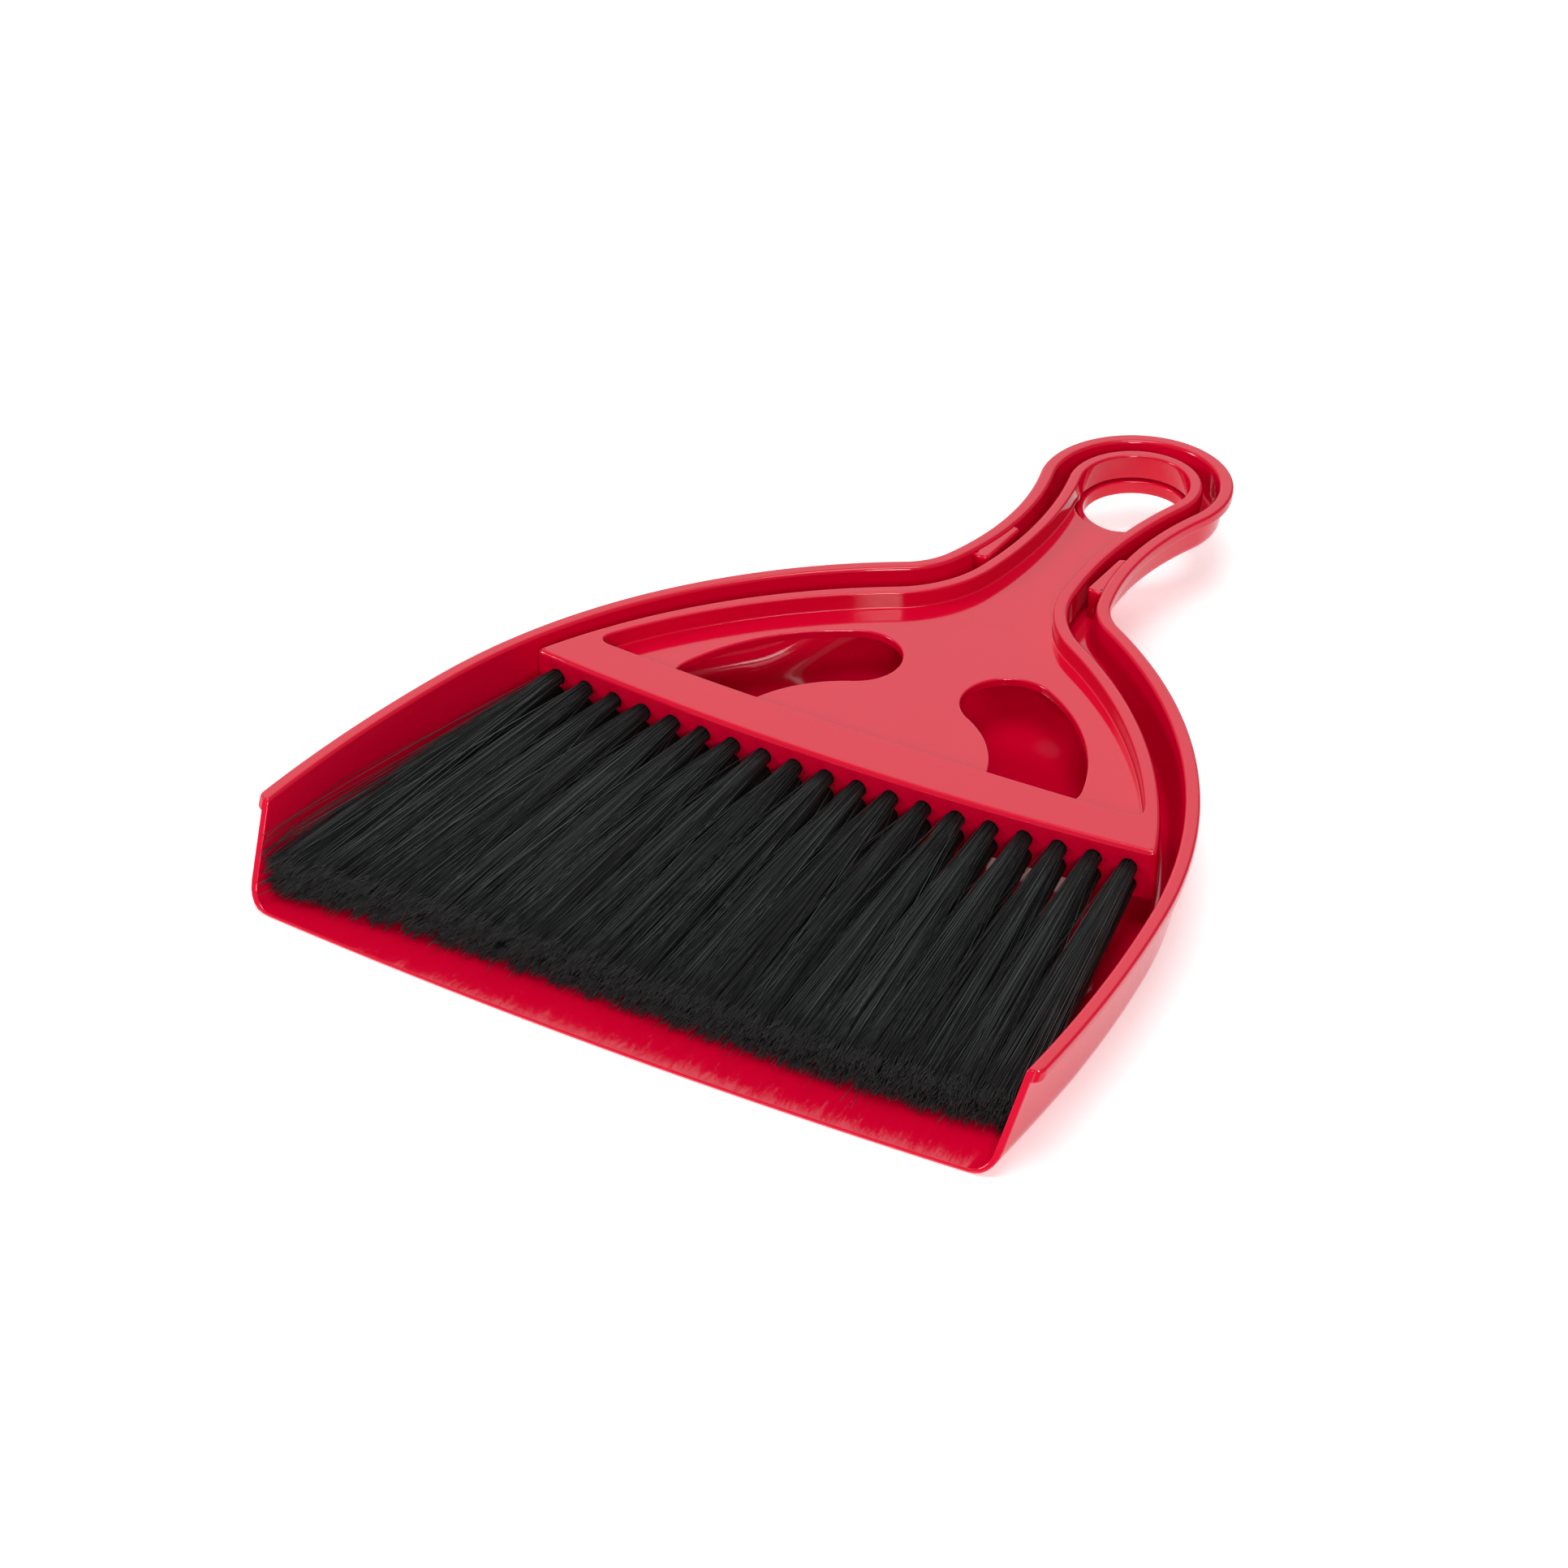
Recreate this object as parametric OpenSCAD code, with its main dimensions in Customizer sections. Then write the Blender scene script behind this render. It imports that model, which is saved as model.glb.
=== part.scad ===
// Dust pan with a hand brush that lies in it.
// Modelled with the lip towards -Y, the handle towards +Y, the width along X and +Z up.
// The origin is under the middle of the set, on the surface that the pan stands on.

/* [Pan] */
// Width over the rim at the mouth
pan_w = 230; // [228:0.5:232]
// Height from the table to the top of the rim
pan_h = 25.5; // [25:0.1:27]
// Thickness of the walls and of the floor
wall = 2; // [1.6:0.1:2.4]
// Thickness of the floor at the front edge of the lip
lip_t = 1; // [0.6:0.1:1.4]
// How much further in the walls stand at the table than at the rim
draft = 3.5; // [2:0.25:4.5]
// Thickness of the flange
flange_t = 3; // [2:0.25:4]
// How far the flange stands out past the wall
flange_lap = 2; // [1:0.25:2.25]
// Radius of the hole that the pan hangs by
hang_r = 14.4; // [12:0.2:15]

/* [Brush block] */
// Height of the beam that holds the tufts
beam_h = 14.9; // [14.5:0.1:15.5]
// Height of the grip and of its ring
grip_h = 7.6; // [7.4:0.1:8.5]
// Width of the raised border round the recess
border_w = 4.1; // [3:0.1:5]
// Depth of the recess below the border
recess_d = 4.8; // [3:0.1:4.9]
// Thickness of the web under the recess
web_t = 2.4; // [1.6:0.1:2.5]

/* [Tufts] */
// Tufts in each of the two rows
tuft_count = 19; // [19:1:19]
// Distance between tufts in the beam
tuft_pitch = 9.6; // [9:0.1:9.8]
// Distance between tufts at their tips
tip_pitch = 11.3; // [10.9:0.1:11.4]
// Radius of a tuft where it leaves the beam
tuft_r = 2.2; // [1.8:0.1:2.3]
// Radial clearance of a tuft in its drilled hole
tuft_play = 0.05; // [0.05:0.01:0.1]
// Depth of the drilled holes
hole_d = 10; // [9:0.5:11]

/* [Hidden] */
pan_colour = "#d20a2e";
fibre_colour = "#26282a";
staple_colour = "#b9bbbd";

// Sides of the pan and of the brush block, as [radius, turn, steps] arcs from the front to the end ring.
pan_front = [pan_w / 2, 17];
pan_heading = 90;
pan_arcs = [[438, 9.8, 4], [169, 47.5, 11], [18.5, -39.7, 5], [85.5, -35.8, 6]];
block_front = [94, 113.3];
block_heading = 112;
block_arcs = [[170.6, 34.9, 8], [32, -47.2, 6], [124.4, -26.2, 5]];
end_steps = 12;           // steps round each end ring
block_run_in = 12;       // the block's sides run on past its front corners by this much

// A point moved by d square to a heading, to its left
function left_of(p, heading, d) = p + d * [-sin(heading), cos(heading)];

// A point p turned by an angle round a centre c
function turned(p, c, angle) = c + [
    (p[0] - c[0]) * cos(angle) - (p[1] - c[1]) * sin(angle),
    (p[0] - c[0]) * sin(angle) + (p[1] - c[1]) * cos(angle)];

// Points of tangent arcs from p: a positive turn bends left, a negative one right
function run(p, heading, arcs, i = 0) = i == len(arcs) ? [p] :
    let(
        turn = arcs[i][1],
        centre = left_of(p, heading, sign(turn) * arcs[i][0]),
        steps = arcs[i][2])
    concat(
        [for (k = [0 : steps - 1]) turned(p, centre, turn * k / steps)],
        run(turned(p, centre, turn), heading + turn, arcs, i + 1));

// The same arcs moved inwards by d
function inwards(arcs, d) = [for (a = arcs) [a[0] - sign(a[1]) * d, a[1], a[2]]];

function total_turn(arcs, i = 0) = i == len(arcs) ? 0 : arcs[i][1] + total_turn(arcs, i + 1);

// One side of an outline, inset by d, closed by an arc whose centre lies on the middle plane
function side(front, heading, arcs, d) =
    let(
        half = run(left_of(front, heading, d), heading, inwards(arcs, d)),
        end = half[len(half) - 1],
        end_heading = heading + total_turn(arcs))
    concat(
        [for (i = [0 : len(half) - 2]) half[i]],
        run(end, end_heading, [[end[0] / sin(end_heading), 180 - end_heading, end_steps]]));

// A side and its mirror image, as one run from the right front round to the left front
function both_sides(half) = concat(half, [for (i = [len(half) - 2 : -1 : 0]) [-half[i][0], half[i][1]]]);

function pan_line(d) = both_sides(side(pan_front, pan_heading, pan_arcs, d));

// The pan's outline, run on to the front so that the side view can trim it
function pan_area(d) = concat([[pan_front[0] - d, -5]], pan_line(d), [[d - pan_front[0], -5]]);

function block_area(d) =
    let(
        line = side(block_front, block_heading, block_arcs, d),
        run_in = line[0] - block_run_in * [cos(block_heading), sin(block_heading)])
    both_sides(concat([run_in], line));

// A smooth rise in a side view, from one [y, z] point to another
function rise(from, to, steps = 12) = [for (k = [0 : steps])
    let(t = k / steps)
    [from[0] + t * (to[0] - from[0]), from[1] + (1 - cos(180 * t)) / 2 * (to[1] - from[1])]];

pan_end = max([for (p = pan_line(0)) p[1]]);      // length of the set
handle_z = 13.6;                                  // underside of the handle trough
ramp_y = [175, 208];                              // where the floor climbs into the handle
rake_y = 4;                                       // foot of the raked front edge of the walls
lip_run = 45;                                     // the floor thins over this much of the lip
lip_bow_r = 1540;                                 // radius of the lip's front edge
ring_y = 275.5;                                   // centre of the hang holes
collar_z = 17.5;                                  // top of the collar round the pan's hang hole
collar_w = 2;
pad_x = 15.5;                                     // inner face of the pads that hold the grip
pad_y = [219, 238];
pad_drop = 0.5;                                   // the pads stop this far below the rim
rim_cut = 2;                                      // forms run on past the faces that trim them by this much

beam_front_y = 108.2;
beam_front_r = 800;
beam_back_y = 124;
beam_back_r = 1400;
beam_wall = 2.2;                                  // skirt round the hollow underside
beam_z = pan_h - beam_h;
grip_z = pan_h - grip_h;
web_z = pan_h - recess_d;
under_y = [130, 190];                             // where the block's underside climbs

bean_y = 118;                                     // centre of the curved windows
bean_r = [37.4, 62.8];
bean_front_y = 127;
bean_end = 62;                                    // angle of the windows' far ends
bean_corner_r = 8;
ring_hole_r = 15.4;
slot_y = 267.3;                                   // rounded near end of the brush's hang opening
slot_r = 11.3;

row_z = [pan_h - 6, pan_h - 11];                  // height of the two rows on the beam's face
tip_y = 14.5;
tip_z = [10, 4.85];
tip_size = [4.6, 10.4];                           // height and width of a tuft's spread end
root_d = hole_d - 1.6;                            // how deep a tuft's folded end sits
staple_size = [1.1, 3.8, 1.1];

ROWS = ["top", "bottom"];
big = 400;                                        // larger than the set

// Puts the origin under the middle of the set
module placed() translate([0, -pan_end / 2, 0]) children();

// Solid through outlines of equally many points, each given as [outline, z], from the lowest up
module loft(rings) {
    n = len(rings[0][0]);
    top = n * (len(rings) - 1);
    points = [for (ring = rings, p = ring[0]) [p[0], p[1], ring[1]]];
    sides = [for (k = [0 : n : top - 1], i = [0 : n - 1])
        let(j = (i + 1) % n)
        each [[k + i, k + n + i, k + n + j], [k + i, k + n + j, k + j]]];
    polyhedron(points, concat([[for (i = [0 : n - 1]) i]], [[for (i = [n - 1 : -1 : 0]) top + i]], sides));
}

// A side view, as [y, z] points, given the whole width of the set
module side_view(points) {
    translate([-pan_w, 0, 0])
        rotate([90, 0, 90])
            linear_extrude(2 * pan_w) polygon(points);
}

// How far the wall's outer face stands in from the flange's edge at height z
function wall_inset(z) = flange_lap + draft * (1 - z / pan_h);

// The drafted form of the outside of the walls, from below the table to the middle of the flange
module pan_form() {
    top = pan_h - flange_t / 2;
    loft([[pan_area(wall_inset(-rim_cut)), -rim_cut], [pan_area(wall_inset(top)), top]]);
}

// The drafted form of the space between the walls, cut on upwards past the rim
module pan_cavity() {
    mouth = pan_area(wall_inset(pan_h) + wall);
    intersection() {
        loft([[pan_area(wall_inset(0) + wall), 0], [mouth, pan_h], [mouth, pan_h + rim_cut]]);
        above_floor();
    }
}

// Trims the walled form to the ramp under the handle and to the raked front edges of the walls
module pan_side() {
    rake = (pan_front[1] - rake_y) / (pan_h - lip_t);
    side_view(concat(
        [[-1, 0]],
        rise([ramp_y[0], 0], [ramp_y[1], handle_z]),
        [[big, handle_z], [big, pan_h + 1], [pan_front[1] + rake, pan_h + 1]],
        [[rake_y, lip_t], [-1, lip_t]]));
}

module above_floor() {
    side_view(concat(
        [[-10, lip_t], [0, lip_t]],
        [[lip_run, wall]],
        rise([ramp_y[0], wall], [ramp_y[1], handle_z + wall]),
        [[big, handle_z + wall], [big, pan_h + big], [-10, pan_h + big]]));
}

// Distance that a shallow arc of radius r falls back from its crown at x
function bow(r, x) = r - sqrt(r ^ 2 - x ^ 2);

module bowed_lip() {
    edge = [for (x = [-120 : 10 : 120]) [x, bow(lip_bow_r, x)]];
    translate([0, 0, -1])
        linear_extrude(pan_h + 2)
            polygon(concat([[-120, big]], edge, [[120, big]]));
}

// Points round the flange's front end, from its left edge p to its right edge
function flange_nub(p) =
    let(nub_r = (flange_lap + wall) / 2)
    [for (k = [1 : 7]) p + nub_r * [1 - cos(180 * k / 8), -sin(180 * k / 8)]];

// The flange, wide enough for the cavity to trim its inner edge flush with the wall
module flange() {
    width = flange_lap + wall;
    inner = pan_line(width + 1);
    translate([0, 0, pan_h - flange_t])
        linear_extrude(flange_t)
            polygon(concat(
                pan_line(0),
                flange_nub([-pan_front[0], pan_front[1]]),
                [for (i = [len(inner) - 1 : -1 : 0]) inner[i]],
                flange_nub([pan_front[0] - width, pan_front[1]])));
}

module grip_pad(s) {
    intersection() {
        loft([[pan_area(wall_inset(0) + wall / 2), 0], [pan_area(wall_inset(pan_h) + wall / 2), pan_h]]);
        translate([s * (pad_x + 10), (pad_y[0] + pad_y[1]) / 2, (handle_z + pan_h + wall) / 2 - pad_drop])
            cube([20, pad_y[1] - pad_y[0], pan_h - handle_z - wall], center = true);
    }
}

module pan() {
    color(pan_colour)
        placed()
            difference() {
                union() {
                    difference() {
                        union() {
                            intersection() {
                                pan_form();
                                pan_side();
                                bowed_lip();
                            }
                            flange();
                        }
                        pan_cavity();
                    }
                    grip_pad(-1);
                    grip_pad(1);
                    translate([0, ring_y, handle_z + wall / 2])
                        cylinder(h = collar_z - handle_z - wall / 2, r = hang_r + collar_w, $fn = 96);
                }
                translate([0, ring_y, 0]) cylinder(h = pan_h + 1, r = hang_r, $fn = 96);
            }
}

// Plan of the curved window on the +X side
module bean() {
    mid_r = (bean_r[0] + bean_r[1]) / 2;
    fillet_x = sqrt((bean_r[1] - bean_corner_r) ^ 2 - (bean_front_y + bean_corner_r - bean_y) ^ 2);
    fillet = [fillet_x, bean_front_y + bean_corner_r];
    touch = [0, bean_y] + (fillet - [0, bean_y]) * bean_r[1] / (bean_r[1] - bean_corner_r);
    difference() {
        intersection() {
            translate([0, bean_y]) circle(r = bean_r[1], $fn = 144);
            polygon([
                [0, bean_front_y],
                [big, bean_front_y],
                [0, bean_y] + big * [cos(bean_end / 2), sin(bean_end / 2)],
                [0, bean_y] + big * [cos(bean_end), sin(bean_end)],
                [0, bean_y]]);
        }
        translate([0, bean_y]) circle(r = bean_r[0], $fn = 144);
        difference() {
            polygon([fillet, [fillet_x, bean_front_y - 1], [big, bean_front_y - 1], [big, touch[1]], touch]);
            translate(fillet) circle(r = bean_corner_r, $fn = 64);
        }
    }
    translate([0, bean_y] + mid_r * [cos(bean_end), sin(bean_end)])
        circle(r = (bean_r[1] - bean_r[0]) / 2, $fn = 64);
}

// Plan of the opening that the brush hangs by
module hang_slot() {
    translate([0, slot_y]) circle(r = slot_r, $fn = 64);
    intersection() {
        translate([0, ring_y]) circle(r = ring_hole_r, $fn = 96);
        translate([-big / 2, slot_y + 1]) square([big, big]);
    }
}

// Plan of everything behind the beam, inset by d from the block's sides
module behind_beam(d, back) {
    difference() {
        polygon(block_area(d));
        translate([0, back - big]) square([2 * big, 2 * big], center = true);
        translate([0, back]) mirror([0, 1]) beam_back_fill();
    }
}

// The sliver that makes the beam's back edge a shallow arc
module beam_back_fill() {
    edge = [for (x = [-100 : 10 : 100]) [x, -bow(beam_back_r, x)]];
    polygon(concat([[-100, 1]], edge, [[100, 1]]));
}

module block_side() {
    side_view(concat(
        [[0, beam_z]],
        rise([under_y[0], beam_z], [under_y[1], grip_z]),
        [[big, grip_z], [big, pan_h], [0, pan_h]]));
}

function face_y(x) = beam_front_y + bow(beam_front_r, x);
function root(row, i) = [tuft_pitch * i, face_y(tuft_pitch * i), row_z[row]];
function tip(row, i) = [tip_pitch * i, tip_y, tip_z[row]];

// Children drawn along +Z from the beam's face come out along tuft i of a row
module along_tuft(row, i) {
    way = tip(row, i) - root(row, i);
    translate(root(row, i))
        rotate([0, acos(way[2] / norm(way)), atan2(way[1], way[0])])
            children();
}

module brush_block() {
    color(pan_colour)
        placed()
            difference() {
                intersection() {
                    linear_extrude(pan_h) polygon(block_area(0));
                    translate([0, beam_front_y + beam_front_r, 0])
                        cylinder(h = pan_h, r = beam_front_r, $fn = 720);
                    block_side();
                }
                translate([0, 0, web_z]) linear_extrude(pan_h) behind_beam(border_w, beam_back_y);
                translate([0, 0, web_z - web_t - pan_h])
                    linear_extrude(pan_h) behind_beam(beam_wall, beam_back_y + beam_wall);
                linear_extrude(pan_h) bean();
                linear_extrude(pan_h) mirror([1, 0]) bean();
                linear_extrude(pan_h) hang_slot();
                for (row = [0, 1], i = [1 : tuft_count])
                    along_tuft(row, i - (tuft_count + 1) / 2)
                        translate([0, 0, -hole_d]) cylinder(h = hole_d + 3, r = tuft_r + tuft_play, $fn = 32);
            }
}

module tuft(row, i) {
    length = norm(tip(row, i) - root(row, i));
    color(fibre_colour)
        placed()
            along_tuft(row, i) {
                translate([0, 0, -root_d]) cylinder(h = root_d + 2, r = tuft_r, $fn = 32);
                hull() {
                    translate([0, 0, 1]) cylinder(h = 1, r = tuft_r, $fn = 20);
                    translate([0, 0, length - 1])
                        scale([tip_size[0] / 2, tip_size[1] / 2, 1]) cylinder(h = 1, r = 1, $fn = 20);
                }
            }
}

module staples(row) {
    color(staple_colour)
        placed()
            for (i = [1 : tuft_count])
                along_tuft(row, i - (tuft_count + 1) / 2)
                    translate([0, 0, -(root_d + hole_d) / 2]) cube(staple_size, center = true);
}

pan();
brush_block();
for (row = [0, 1], i = [1 : tuft_count])
    tuft(row, i - (tuft_count + 1) / 2);
for (row = [0, 1])
    staples(row);
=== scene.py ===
import math

import bmesh
import bpy
import numpy as np
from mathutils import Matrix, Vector, geometry


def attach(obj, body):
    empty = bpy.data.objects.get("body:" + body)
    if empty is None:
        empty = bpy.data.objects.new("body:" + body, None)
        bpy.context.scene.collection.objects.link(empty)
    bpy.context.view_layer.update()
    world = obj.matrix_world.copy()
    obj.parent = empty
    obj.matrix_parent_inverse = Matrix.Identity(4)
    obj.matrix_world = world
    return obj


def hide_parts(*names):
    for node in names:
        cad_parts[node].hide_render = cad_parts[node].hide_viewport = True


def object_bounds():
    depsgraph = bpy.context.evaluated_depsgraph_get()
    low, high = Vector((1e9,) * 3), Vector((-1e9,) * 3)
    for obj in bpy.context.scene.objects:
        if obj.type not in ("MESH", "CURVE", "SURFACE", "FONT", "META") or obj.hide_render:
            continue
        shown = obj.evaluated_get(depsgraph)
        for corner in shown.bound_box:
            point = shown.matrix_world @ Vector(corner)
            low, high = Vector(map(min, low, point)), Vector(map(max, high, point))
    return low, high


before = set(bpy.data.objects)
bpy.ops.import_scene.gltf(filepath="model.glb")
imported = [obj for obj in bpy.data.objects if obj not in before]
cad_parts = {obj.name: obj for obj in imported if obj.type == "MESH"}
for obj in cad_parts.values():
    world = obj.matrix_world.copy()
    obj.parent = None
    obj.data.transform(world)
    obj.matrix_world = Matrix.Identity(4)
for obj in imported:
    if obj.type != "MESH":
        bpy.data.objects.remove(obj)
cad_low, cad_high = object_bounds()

# ---------------------------------------------------------------------------------------------
# Camera: a long lens standing to the right of the lip and looking down across the set.
camera_place = Vector((0.6039, -1.04703, 0.7795))
camera_azimuth = math.radians(31.57)
camera_elevation = math.radians(33.05)
camera_look = Vector((
    -math.sin(camera_azimuth) * math.cos(camera_elevation),
    math.cos(camera_azimuth) * math.cos(camera_elevation),
    -math.sin(camera_elevation)))
camera_data = bpy.data.cameras.new("camera")
camera_data.lens = 123.9
camera_data.sensor_width = 36
camera_data.clip_end = 20
camera = bpy.data.objects.new("camera", camera_data)
bpy.context.scene.collection.objects.link(camera)
camera.location = camera_place
camera.rotation_euler = camera_look.to_track_quat("-Z", "Y").to_euler()
bpy.context.scene.camera = camera

# ---------------------------------------------------------------------------------------------
# Pan: one injection moulding in red polypropylene. A thin floor that runs out to a lip, drafted
# walls with a flange along their tops, and a shallow trough for the brush's grip that ends in a
# ring with a hole to hang by.
MM = 0.001
LIP_Y = cad_low.y / MM                      # the front of the lip, in mm in the row frame
RIM_Z = cad_high.z / MM
WALL = 2.0
LIP_T = 1.0
LAP = 2.0                                   # how far the flange stands out past the wall
DRAFT = 3.5
FLANGE_T = 3.0
TROUGH_Z = 13.6
RAMP_Y = (175.0, 208.0)
RING_Y = 275.5
HANG_R = 14.4
COLLAR = (2.0, 17.5)                        # width and top of the collar round the hang hole
PAN_FRONT = (cad_high.x / MM, 17.0)
PAN_ARCS = ((438.0, 9.8, 30), (169.0, 47.5, 60), (18.5, -39.7, 14), (85.5, -35.8, 24))
PAN_RING_STEPS = 34
SUPPORT = 0.3                               # flat margin beside each rounding, so it shades clean


def turned(points, centre, angles):
    """Points turned about a centre: x' = cx + x cos a - y sin a, y' = cy + x sin a + y cos a."""
    c, s = np.cos(angles), np.sin(angles)
    x, y = points[..., 0] - centre[0], points[..., 1] - centre[1]
    return np.stack([centre[0] + x * c - y * s, centre[1] + x * s + y * c], -1)


def side_line(front, heading, arcs, ring_steps, inset=0.0):
    """One side of an outline as tangent arcs of (radius, turn, steps), left turns positive, closed by
    an arc whose centre lies on the middle plane. Gives the points and the inward normals."""
    heading = math.radians(heading)
    here = np.array(front, float) + inset * np.array([-math.sin(heading), math.cos(heading)])
    points, headings = [], []
    for radius, turn, steps in (*arcs, (None, None, ring_steps)):
        left = np.array([-math.sin(heading), math.cos(heading)])
        if radius is None:
            radius, turn = here[0] / math.sin(heading), math.pi - heading
        else:
            turn = math.radians(turn)
            radius -= math.copysign(inset, turn)
        centre = here + math.copysign(radius, turn) * left
        angles = np.linspace(0, turn, steps + 1)
        points.append(turned(here, centre, angles)[:-1])
        headings.append(heading + angles[:-1])
        here = turned(here, centre, np.array([turn]))[0]
        heading += turn
    points = np.vstack([*points, [here]])
    headings = np.append(np.concatenate(headings), heading)
    return points, np.stack([-np.sin(headings), np.cos(headings)], -1)


def mirrored(points):
    """The same points on the other side of the middle plane, in the opposite order."""
    return points[::-1] * ([-1, 1] if points.shape[-1] == 2 else [-1, 1, 1])


def rounded(corners, radii, steps=6):
    """A polyline whose inner corners become arcs of the given radii, with a support point on each
    side of every arc. Leading axes are kept, so many sections can be rounded at once."""
    out = [corners[..., 0, :]]
    for i, radius in enumerate(radii, 1):
        radius = np.asarray(radius, float)[..., None]
        before = corners[..., i - 1, :] - corners[..., i, :]
        after = corners[..., i + 1, :] - corners[..., i, :]
        before = before / np.linalg.norm(before, axis=-1, keepdims=True)
        after = after / np.linalg.norm(after, axis=-1, keepdims=True)
        between = np.arccos(np.clip((before * after).sum(-1, keepdims=True), -1, 1))
        reach = radius / np.tan(between / 2)
        middle = before + after
        middle = middle / np.linalg.norm(middle, axis=-1, keepdims=True)
        centre = corners[..., i, :] + middle * radius / np.sin(between / 2)
        start = corners[..., i, :] + before * reach - centre
        end = corners[..., i, :] + after * reach - centre
        span = np.pi - between
        out.append(centre + start + before * SUPPORT)
        for share in np.linspace(0, 1, steps + 1):
            blend = np.sin((1 - share) * span) * start + np.sin(share * span) * end
            out.append(centre + blend / np.sin(span))
        out.append(centre + end + after * SUPPORT)
    out.append(corners[..., -1, :])
    return np.stack(out, -2)


def grid(points, close_rows=False, close_columns=False):
    """A grid of points, rows by columns by 3, as (points, quads), joined end to end if asked."""
    rows, columns = points.shape[:2]
    index = np.arange(rows * columns).reshape(rows, columns)
    if close_rows:
        index = np.vstack([index, index[:1]])
    if close_columns:
        index = np.hstack([index, index[:, :1]])
    quads = np.stack([index[:-1, :-1], index[1:, :-1], index[1:, 1:], index[:-1, 1:]], -1)
    return points.reshape(-1, 3), quads.reshape(-1, 4)


def filled(loops):
    """The flat region between an outer loop and its holes as (points in the plane, triangles): a
    constrained Delaunay mesh, keeping the triangles whose middle crosses an odd number of edges."""
    flat = np.vstack(loops)
    starts = np.cumsum([0] + [len(loop) for loop in loops])
    edges = [(a + k, a + (k + 1) % (b - a)) for a, b in zip(starts[:-1], starts[1:]) for k in range(b - a)]
    made = geometry.delaunay_2d_cdt([Vector(p) for p in flat], edges, [], 1, 1e-7)
    points = np.array([tuple(p) for p in made[0]])
    triangles = np.array([f for f in made[2] if len(f) == 3])
    middle = points[triangles].mean(1)
    a, b = np.vstack(loops), np.vstack([np.roll(loop, -1, 0) for loop in loops])
    rising = (a[:, 1] > middle[:, 1:]) != (b[:, 1] > middle[:, 1:])
    with np.errstate(divide="ignore", invalid="ignore"):
        at_x = (b[:, 0] - a[:, 0]) * (middle[:, 1:] - a[:, 1]) / (b[:, 1] - a[:, 1]) + a[:, 0]
    inside = (rising & (middle[:, :1] < at_x)).sum(1) % 2 == 1
    return points, triangles[inside]


def at_height(flat, z):
    """Points of a plan given a height, or one height each."""
    return np.column_stack([flat, np.broadcast_to(z, len(flat))])


def lid(loops, height):
    """A filled plan whose height is a function of y."""
    flat, triangles = filled(loops)
    return at_height(flat, height(flat[:, 1])), triangles


def piece(name, parts, material, body, slot, *nodes):
    """Joins parts given in mm from the lip's front into one smooth mesh, rides it on its body and
    lets it stand for its CAD nodes."""
    points = np.vstack([p for p, _ in parts]) * MM
    points[:, 1] += LIP_Y * MM
    faces, start = [], 0
    for p, f in parts:
        faces += (f + start).tolist()
        start += len(p)
    mesh = bpy.data.meshes.new(name)
    mesh.from_pydata(points.tolist(), [], faces)
    work = bmesh.new()
    work.from_mesh(mesh)
    bmesh.ops.remove_doubles(work, verts=work.verts, dist=2e-6)
    bmesh.ops.dissolve_degenerate(work, edges=work.edges, dist=1e-7)
    bmesh.ops.recalc_face_normals(work, faces=work.faces)
    work.to_mesh(mesh)
    work.free()
    mesh.shade_smooth()
    mesh.materials.append(material)
    obj = bpy.data.objects.new(name, mesh)
    bpy.context.scene.collection.objects.link(obj)
    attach(obj, body)
    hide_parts(*nodes)


def rise(y, low, high):
    """The cosine ramp from height low to height high over RAMP_Y."""
    share = np.clip((y - RAMP_Y[0]) / (RAMP_Y[1] - RAMP_Y[0]), 0, 1)
    return low + (high - low) * (1 - np.cos(np.pi * share)) / 2


def underside_z(y):
    """The pan's underside: flat on the table, then up the ramp to the trough."""
    return rise(y, 0, TROUGH_Z)


def floor_z(y):
    """The pan's floor: thin at the lip, level, then up the ramp to the trough."""
    return rise(y, WALL, TROUGH_Z + WALL) - (WALL - LIP_T) * np.clip(1 - y / 45, 0, 1)


def wall_inset(z):
    """How far in from the flange's edge the wall's outer face stands at height z."""
    return LAP + DRAFT * (1 - z / RIM_Z)


def bow(radius, x):
    """How far a shallow arc falls back from its crown at x."""
    return radius - np.sqrt(radius ** 2 - np.asarray(x, float) ** 2)


def front_y(x, z):
    """The front of the pan: the lip's bow, and the rake of the walls' front edges."""
    return bow(1540, x) + (PAN_FRONT[1] - 4) * np.clip((z - LIP_T) / (RIM_Z - LIP_T), 0, 1)


def wall_section(y_floor, y_under):
    """Sections across one wall as (inset, height), from the floor's edge over the rim to the edge
    of the underside. The foot is well rounded in the pan and tighter in the trough."""
    floor, under = floor_z(y_floor), underside_z(y_under)
    trough = rise(y_floor, 0.0, 1.0)
    inner_r, outer_r = 6.0 - 4.6 * trough, 7.6 - 5.2 * trough
    low = RIM_Z - FLANGE_T
    one = np.ones_like(floor)
    corners = np.stack([np.stack([d * one, z * one], -1) for d, z in (
        (wall_inset(floor) + WALL + 9.5 - 5.5 * trough, floor),
        (wall_inset(floor) + WALL, floor),
        (LAP + WALL, RIM_Z),
        (0.0, RIM_Z),
        (0.12, low),
        (wall_inset(low), low),
        (wall_inset(under), under),
        (wall_inset(under) + 11.0 - 6.0 * trough, under))], -2)
    return rounded(corners, [inner_r, 1.1 * one, 0.9 * one, 0.5 * one, 0.4 * one, outer_r])


pan_side, pan_inward = side_line(PAN_FRONT, 90, PAN_ARCS, PAN_RING_STEPS)
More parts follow.
